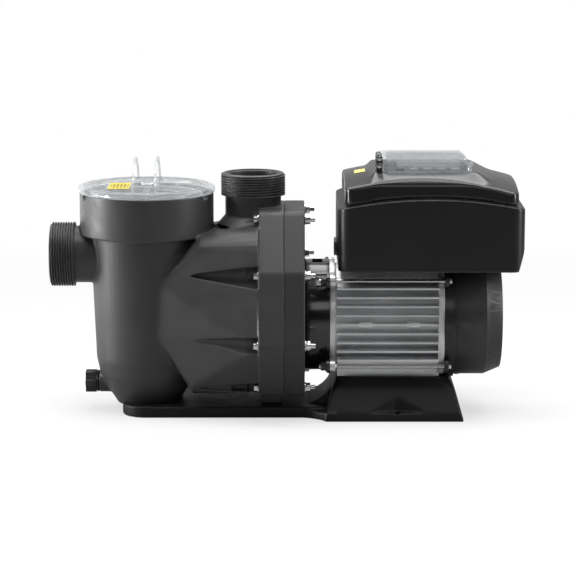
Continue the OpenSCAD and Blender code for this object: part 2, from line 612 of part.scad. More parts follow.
module controller_mount_screws() color([0.7, 0.7, 0.7]) for (x = [82, 164], y = [-30, 30]) translate([x, y, 0]) {
    translate([0, 0, 193]) cylinder(r = 4, h = 2.6);
    translate([0, 0, 181]) cylinder(r = 1.96, h = 12.1);
}
module heat_sink() color([0.7, 0.71, 0.72]) difference() {
    union() {
        box(188, 256, -62, 62, 193, 197);
        for (y = [-60 : 8 : 60]) box(188, 256, y - 1, y + 1, 197 - eps, 214);
    }
}
module circuit_board() color([0.1, 0.35, 0.18]) difference() {
    box(90, 250, -70, 70, 222, 223.6);
    for (x = [96, 244], y = [-64, 64]) translate([x, y, 220]) cylinder(r = 1.7, h = 6);
}
module capacitors() color([0.15, 0.2, 0.45]) for (x = [112, 140, 168]) translate([x, 44, 223.7]) cylinder(r = 11, h = 26);
module terminal_block() color([0.2, 0.45, 0.3]) difference() {
    box(96, 150, -62, -46, 223.7, 238);
    for (x = [102 : 8.4 : 146]) translate([x, -54, 230]) cylinder(r = 2.4, h = 10);
}
module display_panel() color([0.12, 0.13, 0.15]) difference() {
    union() {
        rbox(116.2, 211.8, -51.8, 51.8, 285, 287.6, 2);
        box(124, 204, -18, 41, 280, 285 + eps);
    }
    for (x = button_x) translate([x, -32, 279]) cylinder(r = button_r + 0.3, h = 12);
    box(132, 206, -10, 40, 287, 290);
}
module display_window() color([0.05, 0.09, 0.12, 0.8]) box(132.2, 205.8, -9.8, 39.8, 287, 287.9);
module push_button(i, c) color(c) translate([button_x[i], -32, 0]) {
    translate([0, 0, 284]) cylinder(r = button_r, h = 4.6);
    translate([0, 0, 288.5]) cylinder(r1 = button_r, r2 = button_r - 0.8, h = 0.7);
    translate([0, 0, 283]) cylinder(r = button_r + 1.2, h = 1.5);
}
module button_power() push_button(0, [0.7, 0.15, 0.12]);
module button_mode() push_button(1, [0.6, 0.62, 0.64]);
module button_up() push_button(2, [0.6, 0.62, 0.64]);
module button_down() push_button(3, [0.6, 0.62, 0.64]);
module button_timer() push_button(4, [0.6, 0.62, 0.64]);

module display_cover() color([0.85, 0.88, 0.9, 0.4]) difference() {
    union() {
        intersection() {
            rbox(113, 216, -57, 57, bezel_top, flip_top, 8);
            translate([0, 100, 0]) rotate([90, 0, 0]) linear_extrude(200) polygon([[110, 280], [217, 280], [217, 291], [208, flip_top], [108, flip_top]]);
        }
        // finger tab
        box(215, 220.5, -7, 7, 289, 291.4);
        // hinge arm
        ycyl(3.4, -48, -30, pin_x, pin_z);
        box(pin_x - 1.5, 118, -48, -30, 298, 301.6);
    }
    difference() {
        rbox(115.2, 213.8, -54.8, 54.8, bezel_top - 1, flip_top - 2.2, 6);
        translate([0, 100, 0]) rotate([90, 0, 0]) linear_extrude(200) polygon([[206, flip_top - 2.1], [214, 291], [230, 291], [230, 310], [206, 310]]);
    }
    ycyl(2.05, -60, 60, pin_x, pin_z);
}
module hinge_bracket() color([0.07, 0.07, 0.07]) difference() {
    union() {
        for (y = [-53, -25]) {
            box(105.7, 112.7, y - 4, y + 4, bezel_top, pin_z);
            ycyl(3.5, y - 4, y + 4, pin_x, pin_z);
        }
        box(105.7, 112.7, -57, -21, bezel_top, 290);
    }
    ycyl(2, -60, 60, pin_x, pin_z);
    ycyl(2, -60, 60, pin_x, pin_low_z);
}
module hinge_pins() color([0.8, 0.8, 0.82]) for (z = [pin_z, pin_low_z]) {
    ycyl(1.99, -57.2, -20.8, pin_x, z);
    for (y = [-58, -20]) ycyl(2.9, y - 1, y + 1, pin_x, z);
}
module cable_gland() color([0.08, 0.08, 0.08]) difference() {
    union() {
        ycyl(7.9, 85, 91, 100, 212);
        translate([100, 96, 212]) rotate([90, 0, 0]) cylinder(r = 13, h = 6, $fn = 6);
        ycyl(10.5, 95.9, 104, 100, 212);
        translate([100, 112, 212]) rotate([90, 0, 0]) cylinder(r1 = 8, r2 = 10.5, h = 8.1);
        ycyl(10, 84, 87, 100, 212);
    }
    ycyl(4, 80, 115, 100, 212);
}
module blanking_plug() color([0.08, 0.08, 0.08]) { xcyl(10.5, 57.6, ctrl_x0, -45, 200); xcyl(7.9, 61.9, 68, -45, 200); }
module controller_label() color([0.9, 0.85, 0.3]) intersection() {
    box(81.5, 94, -25, -5, 265, 292);
    difference() { deck_ball(deck_r + 0.4); deck_ball(deck_r); }
}

strainer_housing();
strainer_lid();
lid_o_ring();
lid_label();
strainer_basket();
drain_plug();
drain_plug_o_ring();
seal_plate();
housing_o_ring();
flange_bolts();
flange_nuts();
flange_washers();
diffuser();
impeller();
impeller_screw();
seal_seat();
seal_head();
seal_spring();
motor_bracket();
bracket_screws();
front_endshield();
front_bearing();
motor_shaft();
rotor_core();
stator_core();
stator_windings();
stator_frame();
rear_bearing();
rear_endshield();
tie_rods();
tie_rod_nuts();
cooling_fan();
fan_cover();
fan_cover_screws();
base();
base_screws();
motor_foot_screws();
controller_tub();
tub_gasket();
controller_cover();
controller_screws();
controller_mount_screws();
heat_sink();
circuit_board();
capacitors();
terminal_block();
display_panel();
display_window();
button_power();
button_mode();
button_up();
button_down();
button_timer();
display_cover();
hinge_bracket();
hinge_pins();
cable_gland();
blanking_plug();
controller_label();
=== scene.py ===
import math

import bmesh
import bpy
import numpy as np
from mathutils import Matrix, Vector


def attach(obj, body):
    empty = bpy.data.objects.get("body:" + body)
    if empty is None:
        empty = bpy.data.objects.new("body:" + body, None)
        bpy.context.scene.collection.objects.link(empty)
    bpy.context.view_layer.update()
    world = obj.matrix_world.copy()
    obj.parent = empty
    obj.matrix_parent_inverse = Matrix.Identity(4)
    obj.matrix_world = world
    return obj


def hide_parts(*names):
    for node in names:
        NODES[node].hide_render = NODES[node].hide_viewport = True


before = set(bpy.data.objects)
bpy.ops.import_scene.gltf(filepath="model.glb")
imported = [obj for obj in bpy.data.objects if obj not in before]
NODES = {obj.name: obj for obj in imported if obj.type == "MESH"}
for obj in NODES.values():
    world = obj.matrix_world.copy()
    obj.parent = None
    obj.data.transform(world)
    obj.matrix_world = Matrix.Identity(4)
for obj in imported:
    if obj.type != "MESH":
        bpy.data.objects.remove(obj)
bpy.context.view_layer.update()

MM = 0.001
AX = 0.112          # height of the shaft axis
POT_X = -0.1604     # axis of the strainer pot
DRAIN_Z = 32.0       # height of the drain boss in millimetres
coll = bpy.context.scene.collection

# studio: lights as (name, place, aim, width, height, watts)
FLOOR_GLOW = 0.6
FLOOR_BOUNCE = 0.05
FLOOR_DIM = 0.55
WORLD_DARK = 0.02
LEFT_PAPER = 4.0
WORLD_BACK = 0.42
LIGHTS = [
    ("overhead", (0.05, -0.22, 1.40), (0.05, -0.2, 0.1), 1.9, 0.65, 19),
    ("top_back", (0.12, 0.55, 1.15), (0.12, -0.05, 0.22), 1.5, 0.5, 8),
    ("key_left", (-1.55, -0.07, 0.22), (-0.15, 0, 0.14), 0.5, 1.1, 30),
    ("front_fill", (0.35, -2.7, 1.5), (0.05, 0, 0.12), 1.4, 0.8, 5),
    ("right_rim", (1.5, -0.3, 0.55), (0.2, 0, 0.15), 0.4, 0.9, 11),
]


# ------------------------------------------------------------------ materials

class Graph:
    """A small helper for node materials."""

    def __init__(self, name):
        self.mat = bpy.data.materials.new(name)
        self.mat.use_nodes = True
        self.nt = self.mat.node_tree
        self.nt.nodes.clear()
        self.out = self.nt.nodes.new("ShaderNodeOutputMaterial")
        self.bsdf = self.nt.nodes.new("ShaderNodeBsdfPrincipled")
        self.nt.links.new(self.bsdf.outputs[0], self.out.inputs[0])
        self.coord = self.nt.nodes.new("ShaderNodeTexCoord")
        self.geo = self.nt.nodes.new("ShaderNodeNewGeometry")

    def link(self, a, b):
        self.nt.links.new(a, b)

    def node(self, kind, **props):
        n = self.nt.nodes.new(kind)
        for k, v in props.items():
            setattr(n, k, v)
        return n

    def mapping(self, scale=(1, 1, 1), rot=(0, 0, 0), loc=(0, 0, 0)):
        m = self.node("ShaderNodeMapping")
        m.inputs["Scale"].default_value = scale
        m.inputs["Rotation"].default_value = rot
        m.inputs["Location"].default_value = loc
        self.link(self.coord.outputs["Object"], m.inputs["Vector"])
        return m.outputs[0]

    def noise(self, scale, detail=3.0, rough=0.55, vec=None, distortion=0.0):
        n = self.node("ShaderNodeTexNoise")
        n.inputs["Scale"].default_value = scale
        n.inputs["Detail"].default_value = detail
        n.inputs["Roughness"].default_value = rough
        n.inputs["Distortion"].default_value = distortion
        self.link(vec if vec is not None else self.coord.outputs["Object"], n.inputs["Vector"])
        return n.outputs["Fac"]

    def ramp(self, fac, lo, hi, a=0.0, b=1.0):
        m = self.node("ShaderNodeMapRange")
        m.inputs["From Min"].default_value = lo
        m.inputs["From Max"].default_value = hi
        m.inputs["To Min"].default_value = a
        m.inputs["To Max"].default_value = b
        self.link(fac, m.inputs["Value"])
        return m.outputs[0]

    def math(self, op, a, b=None):
        m = self.node("ShaderNodeMath", operation=op)
        for i, v in enumerate((a, b)):
            if v is None:
                continue
            if isinstance(v, (int, float)):
                m.inputs[i].default_value = v
            else:
                self.link(v, m.inputs[i])
        return m.outputs[0]

    def mix(self, fac, a, b):
        m = self.node("ShaderNodeMix", data_type="RGBA")
        for key, v in ((0, fac), (6, a), (7, b)):
            if isinstance(v, (int, float)):
                m.inputs[key].default_value = v
            elif isinstance(v, (tuple, list)):
                m.inputs[key].default_value = (*v[:3], 1.0)
            else:
                self.link(v, m.inputs[key])
        return m.outputs[2]

    def bump(self, height, strength, distance, normal=None):
        b = self.node("ShaderNodeBump")
        b.inputs["Strength"].default_value = strength
        b.inputs["Distance"].default_value = distance
        self.link(height, b.inputs["Height"])
        if normal is not None:
            self.link(normal, b.inputs["Normal"])
        return b.outputs[0]


def moulded(name, color, rough, grain=0.35, grain_scale=1500, var=0.25, edge=0.35, spec=0.5, coat=0.0, scuff=0.08, highlight_lift=0.035):
    """Moulded plastic: fine spark-eroded grain, slow colour drift, dull scuffs and a painted highlight on the convex
    edges.
    """
    g = Graph(name)
    c = np.array(color, float)
    drift = g.ramp(g.noise(14, 4, 0.6), 0.3, 0.7)
    col = g.mix(drift, tuple(c * (1 - var * 0.5)), tuple(c * (1 + var)))
    # painted highlight: convex edges (high pointiness), broken up by noise, are lightened towards a brighter copy of
    # the colour
    edge_highlight = g.ramp(g.geo.outputs["Pointiness"], 0.516, 0.565)
    speck = g.ramp(g.noise(90, 5, 0.65), 0.42, 0.66)
    edge_highlight = g.math("MULTIPLY", g.math("MULTIPLY", edge_highlight, speck), edge)
    col = g.mix(edge_highlight, col, tuple(np.minimum(c * 2.4 + highlight_lift, 1)))
    g.link(col, g.bsdf.inputs["Base Color"])
    r = g.ramp(g.noise(55, 5, 0.62, distortion=0.4), 0.3, 0.72, rough - scuff, rough + scuff)
    g.link(r, g.bsdf.inputs["Roughness"])
    fine = g.noise(grain_scale, 3, 0.6)
    n1 = g.bump(g.noise(22, 2, 0.5), 0.05, 0.0012)
    n2 = g.bump(fine, grain, 0.00012, n1)
    g.link(n2, g.bsdf.inputs["Normal"])
    g.bsdf.inputs["Specular IOR Level"].default_value = spec
    g.bsdf.inputs["Coat Weight"].default_value = coat
    g.bsdf.inputs["Coat Roughness"].default_value = 0.12
    return g.mat


def metal(name, color, rough, streak=(1, 1, 1), streak_scale=260, depth=0.35, var=0.12, recess_shade=0.25, spots=0.0, metallic=1.0):
    """Bare metal: directional tool marks, slight tarnish and painted shade in the recesses."""
    g = Graph(name)
    c = np.array(color, float)
    vec = g.mapping(scale=streak)
    lines = g.noise(streak_scale, 4, 0.6, vec=vec)
    patches = g.ramp(g.noise(30, 5, 0.6), 0.35, 0.7)
    col = g.mix(patches, tuple(c * (1 - var)), tuple(np.minimum(c * (1 + var * 0.5), 1)))
    # painted shade: recesses (low pointiness) are darkened towards near black
    cavity = g.ramp(g.geo.outputs["Pointiness"], 0.5, 0.44)
    col = g.mix(g.math("MULTIPLY", cavity, recess_shade), col, (0.06, 0.06, 0.06))
    if spots:
        sp = g.ramp(g.noise(420, 2, 0.5), 0.62, 0.72)
        col = g.mix(g.math("MULTIPLY", sp, spots), col, tuple(c * 0.55))
    g.link(col, g.bsdf.inputs["Base Color"])
    g.bsdf.inputs["Metallic"].default_value = metallic
    g.link(g.ramp(lines, 0.25, 0.75, rough - 0.09, rough + 0.1), g.bsdf.inputs["Roughness"])
    g.link(g.bump(lines, depth, 0.00008), g.bsdf.inputs["Normal"])
    return g.mat


def clear(name, color, rough=0.02, ior=1.52, see=0.35, haze=0.05, milk=0.0, fade=False, edge=0.0):
    """Clear moulded polycarbonate that also lets light through to what is under it."""
    g = Graph(name)
    b = g.bsdf
    c = np.array(color, float)
    g.link(g.mix(g.ramp(g.noise(9, 3), 0.3, 0.7), tuple(c), tuple(c * 0.97)), b.inputs["Base Color"])
    b.inputs["Transmission Weight"].default_value = 1.0
    b.inputs["IOR"].default_value = ior
    g.link(g.ramp(g.noise(160, 4, 0.6), 0.35, 0.75, rough, rough + haze), b.inputs["Roughness"])
    g.link(g.bump(g.noise(12, 2), 0.03, 0.0006), b.inputs["Normal"])
    tr = g.node("ShaderNodeBsdfTransparent")
    tr.inputs[0].default_value = (*(c * 0.96), 1)
    lp = g.node("ShaderNodeLightPath")
    fac = g.math("MAXIMUM", g.math("MAXIMUM", lp.outputs["Is Shadow Ray"], lp.outputs["Is Diffuse Ray"]), see)
    if fade:
        # the far halves of the handle arches hardly show in front of a white background
        xyz = g.node("ShaderNodeSeparateXYZ")
        g.link(g.coord.outputs["Object"], xyz.inputs[0])
        far = g.ramp(xyz.outputs["Y"], -0.012, 0.012, 0.0, 0.72)
        high = g.ramp(xyz.outputs["Z"], 0.266, 0.2675, 0.0, 1.0)
        fac = g.math("MAXIMUM", fac, g.math("MULTIPLY", far, high))
    body = b.outputs[0]
    if milk:
        soft = g.node("ShaderNodeBsdfDiffuse")
        soft.inputs[0].default_value = (0.95, 0.96, 0.97, 1)
        mm = g.node("ShaderNodeMixShader")
        if edge:
            # convex edges of clear plastic gather light and look white
            white = g.ramp(g.geo.outputs["Pointiness"], 0.51, 0.57, milk, milk + edge)
            if fade:
                # painted highlight: the thick rim outside the window is made whiter than the window
                flat = g.mapping(loc=(-POT_X, 0, 0), scale=(1, 1, 0))
                ln = g.node("ShaderNodeVectorMath", operation="LENGTH")
                g.link(flat, ln.inputs[0])
                white = g.math("MAXIMUM", white, g.ramp(ln.outputs["Value"], 0.0700, 0.0745, milk, 0.42))
            g.link(white, mm.inputs[0])
        else:
            mm.inputs[0].default_value = milk
        g.link(b.outputs[0], mm.inputs[1])
        g.link(soft.outputs[0], mm.inputs[2])
        body = mm.outputs[0]
    mx = g.node("ShaderNodeMixShader")
    g.link(fac, mx.inputs[0])
    g.link(body, mx.inputs[1])
    g.link(tr.outputs[0], mx.inputs[2])
    g.link(mx.outputs[0], g.out.inputs[0])
    return g.mat


def bars_label(name, paper, ink, cols, rows, origin, size, seed=0.0):
    """A sticker with plain dark bars: no lettering. Bars are laid out in object space over [x, y]."""
    g = Graph(name)
    m = g.mapping(scale=(1 / size[0], 1 / size[1], 1), loc=(-origin[0] / size[0], -origin[1] / size[1], 0))
    sep = g.node("ShaderNodeSeparateXYZ")
    g.link(m, sep.inputs[0])
    x, y = sep.outputs[0], sep.outputs[1]
    fx = g.math("FRACT", g.math("MULTIPLY", x, float(cols)))
    fy = g.math("FRACT", g.math("MULTIPLY", y, float(rows)))
    inside = g.math("MULTIPLY", g.math("LESS_THAN", g.math("ABSOLUTE", g.math("SUBTRACT", x, 0.5)), 0.42),
                    g.math("LESS_THAN", g.math("ABSOLUTE", g.math("SUBTRACT", y, 0.5)), 0.36))
    bar = g.math("MULTIPLY", g.math("LESS_THAN", g.math("ABSOLUTE", g.math("SUBTRACT", fx, 0.5)), 0.27),
                 g.math("LESS_THAN", g.math("ABSOLUTE", g.math("SUBTRACT", fy, 0.5)), 0.3))
    ink_fac = g.math("MULTIPLY", g.math("MULTIPLY", inside, bar), 0.85)
    fade = g.ramp(g.noise(120, 4), 0.3, 0.7, 0.8, 1.0)
    col = g.mix(g.math("MULTIPLY", ink_fac, fade), tuple(paper), tuple(ink))
    g.link(col, g.bsdf.inputs["Base Color"])
    g.link(g.ramp(g.noise(60, 4), 0.3, 0.7, 0.3, 0.45), g.bsdf.inputs["Roughness"])
    g.link(g.bump(g.noise(70, 3), 0.15, 0.0002), g.bsdf.inputs["Normal"])
    return g.mat


def ring_metal(name, color, rough):
    """Turned metal with fine rings about the shaft."""
    g = Graph(name)
    sep = g.node("ShaderNodeSeparateXYZ")
    g.link(g.mapping(loc=(0, 0, -AX)), sep.inputs[0])
    w = g.node("ShaderNodeTexWave", wave_type="RINGS", rings_direction="X")
    w.inputs["Scale"].default_value = 900
    w.inputs["Distortion"].default_value = 1.5
    g.link(g.mapping(loc=(0, 0, -AX)), w.inputs["Vector"])
    c = np.array(color, float)
    g.link(g.mix(g.ramp(g.noise(40, 4), 0.3, 0.7), tuple(c * 0.9), tuple(c)), g.bsdf.inputs["Base Color"])
    g.bsdf.inputs["Metallic"].default_value = 1.0
    g.link(g.ramp(w.outputs["Fac"], 0, 1, rough - 0.05, rough + 0.08), g.bsdf.inputs["Roughness"])
    g.link(g.bump(w.outputs["Fac"], 0.15, 0.00005), g.bsdf.inputs["Normal"])
    return g.mat


def wound(name, color):
    """Varnished windings: fine parallel strands round the shaft."""
    g = Graph(name)
    w = g.node("ShaderNodeTexWave", wave_type="BANDS", bands_direction="X")
    w.inputs["Scale"].default_value = 280
    w.inputs["Distortion"].default_value = 2.0
    w.inputs["Detail"].default_value = 2.0
    g.link(g.coord.outputs["Object"], w.inputs["Vector"])
    c = np.array(color, float)
    g.link(g.mix(w.outputs["Fac"], tuple(c * 0.35), tuple(c)), g.bsdf.inputs["Base Color"])
    g.bsdf.inputs["Metallic"].default_value = 0.8
    g.bsdf.inputs["Coat Weight"].default_value = 0.6
    g.link(g.ramp(g.noise(200, 3), 0.3, 0.7, 0.28, 0.45), g.bsdf.inputs["Roughness"])
    g.link(g.bump(w.outputs["Fac"], 0.6, 0.0004), g.bsdf.inputs["Normal"])
    return g.mat


def board(name):
    """Circuit board: green mask with fine tracks and pads."""
    g = Graph(name)
    br = g.node("ShaderNodeTexBrick")
    br.inputs["Scale"].default_value = 160
    br.inputs["Mortar Size"].default_value = 0.03
    br.inputs["Color1"].default_value = (0.02, 0.16, 0.07, 1)
    br.inputs["Color2"].default_value = (0.015, 0.12, 0.055, 1)
    br.inputs["Mortar"].default_value = (0.05, 0.26, 0.12, 1)
    g.link(g.coord.outputs["Object"], br.inputs["Vector"])
    pads = g.ramp(g.noise(700, 1, 0.4), 0.66, 0.7)
    g.link(g.mix(pads, br.outputs["Color"], (0.65, 0.6, 0.45)), g.bsdf.inputs["Base Color"])
    g.link(g.ramp(g.noise(90, 3), 0.3, 0.7, 0.3, 0.5), g.bsdf.inputs["Roughness"])
    g.link(g.bump(br.outputs["Fac"], 0.2, 0.0001), g.bsdf.inputs["Normal"])
    return g.mat


MAT = {
    "housing": moulded("m_housing", (0.044, 0.0445, 0.046), 0.44, grain=0.5, grain_scale=1300, var=0.2, edge=0.5),
    "seal_plate": moulded("m_seal_plate", (0.030, 0.0304, 0.0315), 0.46, grain=0.45, grain_scale=1300, var=0.2, edge=0.5),
    "base": moulded("m_base", (0.0085, 0.0086, 0.0089), 0.48, grain=0.45, grain_scale=1100, var=0.25, edge=0.4, spec=0.26),
    "fan": moulded("m_fan_cover", (0.032, 0.0325, 0.034), 0.42, grain=0.4, grain_scale=1500, edge=0.4),
    # painted highlight: the controller tub and cover have their convex edges, the seam and the ridge, strongly
    # lightened
    "ctrl": moulded("m_controller", (0.0105, 0.0107, 0.0112), 0.32, grain=0.05, grain_scale=1900, var=0.12, edge=0.8, spec=0.4, scuff=0.02, highlight_lift=0.10),
    "ctrl_top": moulded("m_controller_cover", (0.014, 0.0142, 0.0148), 0.25, grain=0.06, grain_scale=1900, var=0.15, edge=0.8, spec=0.40, coat=0.35, scuff=0.03, highlight_lift=0.10),
    "black": moulded("m_black_plastic", (0.02, 0.02, 0.021), 0.38, grain=0.3, grain_scale=1700, edge=0.4),
    "panel": moulded("m_panel", (0.022, 0.024, 0.028), 0.4, grain=0.3, grain_scale=2400),
    "basket": moulded("m_basket", (0.60, 0.61, 0.62), 0.42, grain=0.25, grain_scale=1500, var=0.06, edge=0.1),
    "bracket": moulded("m_bracket", (0.010, 0.010, 0.0105), 0.16, grain=0.12, grain_scale=500, var=0.3, edge=0.5, coat=0.6, scuff=0.04),
    "endshield": moulded("m_rear_endshield", (0.012, 0.012, 0.0125), 0.34, grain=0.6, grain_scale=520, edge=0.7, coat=0.1),
    "black_steel": moulded("m_black_steel", (0.018, 0.018, 0.018), 0.3, grain=0.2, grain_scale=900, edge=0.9, spec=0.7),
    "rubber": moulded("m_rubber", (0.012, 0.012, 0.012), 0.62, grain=0.5, grain_scale=2600, edge=0.2),
    "key_grey": moulded("m_key_grey", (0.30, 0.31, 0.32), 0.55, grain=0.4, grain_scale=3000, var=0.08, edge=0.1),
    "key_red": moulded("m_key_red", (0.07, 0.022, 0.022), 0.5, grain=0.4, grain_scale=3000, var=0.1, edge=0.1),
    "impeller": moulded("m_impeller", (0.36, 0.29, 0.19), 0.42, grain=0.4, grain_scale=900, var=0.15),
    "ceramic": moulded("m_ceramic", (0.78, 0.78, 0.74), 0.12, grain=0.05, grain_scale=900, var=0.04, edge=0.0),
    "cap": moulded("m_capacitor", (0.02, 0.03, 0.11), 0.25, grain=0.1, grain_scale=700, coat=0.4),
    "terminal": moulded("m_terminal", (0.03, 0.22, 0.11), 0.4, grain=0.3, grain_scale=1500),
    "alu_frame": metal("m_motor_frame", (0.80, 0.81, 0.82), 0.42, streak=(0.04, 1, 1), streak_scale=900, depth=0.3, var=0.06, recess_shade=0.3, metallic=0.6),
    "alu_cast": metal("m_front_endshield", (0.80, 0.805, 0.81), 0.42, streak=(1, 1, 1), streak_scale=700, depth=0.5, var=0.08, recess_shade=0.4, spots=0.15),
    "stainless": metal("m_stainless", (0.78, 0.78, 0.77), 0.2, streak=(0.15, 1, 1), streak_scale=1600, depth=0.25, var=0.08, recess_shade=0.35),
    "core": metal("m_core_steel", (0.34, 0.34, 0.35), 0.4, streak=(12, 0.4, 0.4), streak_scale=300, depth=0.5),
    "shaft": ring_metal("m_shaft", (0.72, 0.72, 0.73), 0.18),
    "copper": wound("m_windings", (0.62, 0.25, 0.08)),
    "board": board("m_board"),
    "lid": clear("m_clear_lid", (0.95, 0.965, 0.97), rough=0.03, haze=0.025, see=0.60, milk=0.09, fade=True, edge=0.6),
    "flip": clear("m_clear_cover", (0.93, 0.945, 0.95), rough=0.02, haze=0.01, see=0.68, milk=0.035, edge=0.6),
}


def window_material():
    g = Graph("m_window")
    g.link(g.mix(g.ramp(g.noise(40, 3), 0.3, 0.7), (0.006, 0.011, 0.013), (0.012, 0.02, 0.024)), g.bsdf.inputs["Base Color"])
    g.link(g.ramp(g.noise(300, 3), 0.3, 0.7, 0.04, 0.1), g.bsdf.inputs["Roughness"])
    g.bsdf.inputs["Coat Weight"].default_value = 1.0
    g.bsdf.inputs["Coat Roughness"].default_value = 0.03
    return g.mat


MAT["window"] = window_material()
MAT["lid_label"] = bars_label("m_lid_label", (0.80, 0.66, 0.06), (0.03, 0.026, 0.012), 6, 1, (POT_X - 0.045, -0.012), (0.025, 0.052))
MAT["ctrl_label"] = bars_label("m_controller_label", (0.80, 0.74, 0.10), (0.85, 0.85, 0.80), 3, 3, (0.0815, -0.025), (0.0125, 0.020))


# ------------------------------------------------------------------ mesh helpers

def paint(o, key):
    o.data.materials.clear()
    o.data.materials.append(MAT[key])
    for p in o.data.polygons:
        p.material_index = 0


def new_obj(name, verts, faces):
    me = bpy.data.meshes.new(name)
    me.from_pydata([tuple(map(float, v)) for v in verts], [], [tuple(map(int, f)) for f in faces])
    o = bpy.data.objects.new(name, me)
    coll.objects.link(o)
    return o


def fix(o, dist=1e-6):
    """Merges doubles, drops degenerate faces and turns the normals outwards."""
    bm = bmesh.new()
    bm.from_mesh(o.data)
    bmesh.ops.remove_doubles(bm, verts=bm.verts, dist=dist)
    bmesh.ops.dissolve_degenerate(bm, dist=dist * 0.5, edges=bm.edges)
    bmesh.ops.recalc_face_normals(bm, faces=bm.faces)
    bm.to_mesh(o.data)
    bm.free()
    o.data.update()
    return o


def bake(o):
    """Applies all of an object's modifiers."""
    dg = bpy.context.evaluated_depsgraph_get()
    me = bpy.data.meshes.new_from_object(o.evaluated_get(dg))
    o.modifiers.clear()
    old = o.data
    o.data = me
    if old.users == 0:
        bpy.data.meshes.remove(old)
    return o


def smooth_shade(o, angle=35):
    me = o.data
    me.polygons.foreach_set("use_smooth", [True] * len(me.polygons))
    if angle is not None:
        me.set_sharp_from_angle(angle=math.radians(angle))
    me.update()
    return o


def mod(o, kind, **props):
    m = o.modifiers.new(kind.lower(), kind)
    for k, v in props.items():
        setattr(m, k, v)
    return m


def bevel(o, width, segments=2, angle=28):
    mod(o, "BEVEL", width=width, segments=segments, limit_method="ANGLE", angle_limit=math.radians(angle),
        use_clamp_overlap=True, harden_normals=False, miter_outer="MITER_ARC")
    return o


def boolean(o, cutter, op="DIFFERENCE", keep=False):
    m = mod(o, "BOOLEAN", operation=op, solver="EXACT", object=cutter)
    bake(o)
    if not keep:
        bpy.data.objects.remove(cutter)
    return o


def join(name, objs):
    verts, faces, base = [], [], 0
    for o in objs:
        me = o.data
        mw = o.matrix_world
        verts += [mw @ v.co for v in me.vertices]
        faces += [[base + i for i in p.vertices] for p in me.polygons]
        base += len(me.vertices)
    for o in objs:
        bpy.data.objects.remove(o)
    return new_obj(name, verts, faces)


def cad_copy(node, name):
    """A welded copy of a CAD node's mesh to start a finer piece from."""
    me = NODES[node].data.copy()
    o = bpy.data.objects.new(name, me)
    coll.objects.link(o)
    for a in list(me.attributes):
        if a.name in ("custom_normal",):
            me.attributes.remove(a)
    fix(o, 2e-6)
    return o


def coords(o):
    a = np.zeros(len(o.data.vertices) * 3)
    o.data.vertices.foreach_get("co", a)
    return a.reshape(-1, 3)


def set_coords(o, a):
    o.data.vertices.foreach_set("co", a.astype(np.float32).ravel())
    o.data.update()


def soften(o, voxel, iterations, factor=0.5):
    """Turns a hard-edged solid into one moulded skin with small radii everywhere."""
    mod(o, "REMESH", mode="VOXEL", voxel_size=voxel, adaptivity=0.0, use_smooth_shade=True)
    mod(o, "SMOOTH", factor=factor, iterations=iterations)
    bake(o)
    return smooth_shade(o, None)


def lathe(name, profile, n=128, origin=(0, 0, 0), axis="Z"):
    """Revolves a closed profile of (radius, height) points in mm."""
    ang = np.linspace(0, 2 * math.pi, n, endpoint=False)
    p = np.array(profile, float) * MM
    verts = []
    for a in ang:
        for r, h in p:
            if axis == "Z":
                verts.append((origin[0] + r * math.cos(a), origin[1] + r * math.sin(a), origin[2] + h))
            else:
                verts.append((origin[0] + h, origin[1] + r * math.cos(a), origin[2] + r * math.sin(a)))
    k = len(p)
    faces = []
    for i in range(n):
        j = (i + 1) % n
        for q in range(k):
            w = (q + 1) % k
            faces.append((i * k + q, j * k + q, j * k + w, i * k + w))
    return fix(new_obj(name, verts, faces), 1e-7)


def rounded_profile(pts, r, seg=4):
    """Rounds every corner of a closed (radius, height) profile; r may be a list, one per point."""
    out = []
    n = len(pts)
    rs = r if isinstance(r, (list, tuple)) else [r] * n
    for i in range(n):
        p0, p1, p2 = (np.array(pts[(i + d) % n], float) for d in (-1, 0, 1))
        a, b = p0 - p1, p2 - p1
        la, lb = np.linalg.norm(a), np.linalg.norm(b)
        rr = rs[i]
        if rr <= 0 or la < 1e-6 or lb < 1e-6 or p1[0] < 1e-6:
            out.append(tuple(p1))
            continue
        a, b = a / la, b / lb
        d = min(rr, la * 0.45, lb * 0.45)
        s, e = p1 + a * d, p1 + b * d
        for t in np.linspace(0, 1, seg + 1):
            out.append(tuple((1 - t) ** 2 * s + 2 * t * (1 - t) * p1 + t * t * e))
    return out


def rrect(x0, x1, y0, y1, r, per=8):
    """Points of a rounded rectangle, anticlockwise from the lower right corner."""
    pts = []
    for cx, cy, a0 in ((x1 - r, y0 + r, -90), (x1 - r, y1 - r, 0), (x0 + r, y1 - r, 90), (x0 + r, y0 + r, 180)):
        for t in np.linspace(0, 90, per + 1):
            a = math.radians(a0 + t)
            pts.append((cx + r * math.cos(a), cy + r * math.sin(a)))
    return np.array(pts)


def densify(pts, n):
    """The closed polyline resampled so that every loop has the same point count, kept by index."""
    out = []
    m = len(pts)
    for i in range(m):
        p, q = pts[i], pts[(i + 1) % m]
        k = n if np.linalg.norm(q - p) > 12 else 1
        for t in range(k):
            out.append(p + (q - p) * t / k)
    return np.array(out)


def loft(name, loops, cap=True, closed=False):
    """Skins a list of equal-length 3D loops."""
    k = len(loops[0])
    verts = np.vstack(loops)
    faces = []
    m = len(loops)
    for a in range(m - (0 if closed else 1)):
        b = (a + 1) % m
        for i in range(k):
            j = (i + 1) % k
            faces.append((a * k + i, a * k + j, b * k + j, b * k + i))
    if cap and not closed:
        faces.append(tuple(range(k - 1, -1, -1)))
        faces.append(tuple(range((m - 1) * k, m * k)))
    return fix(new_obj(name, verts, faces), 1e-7)


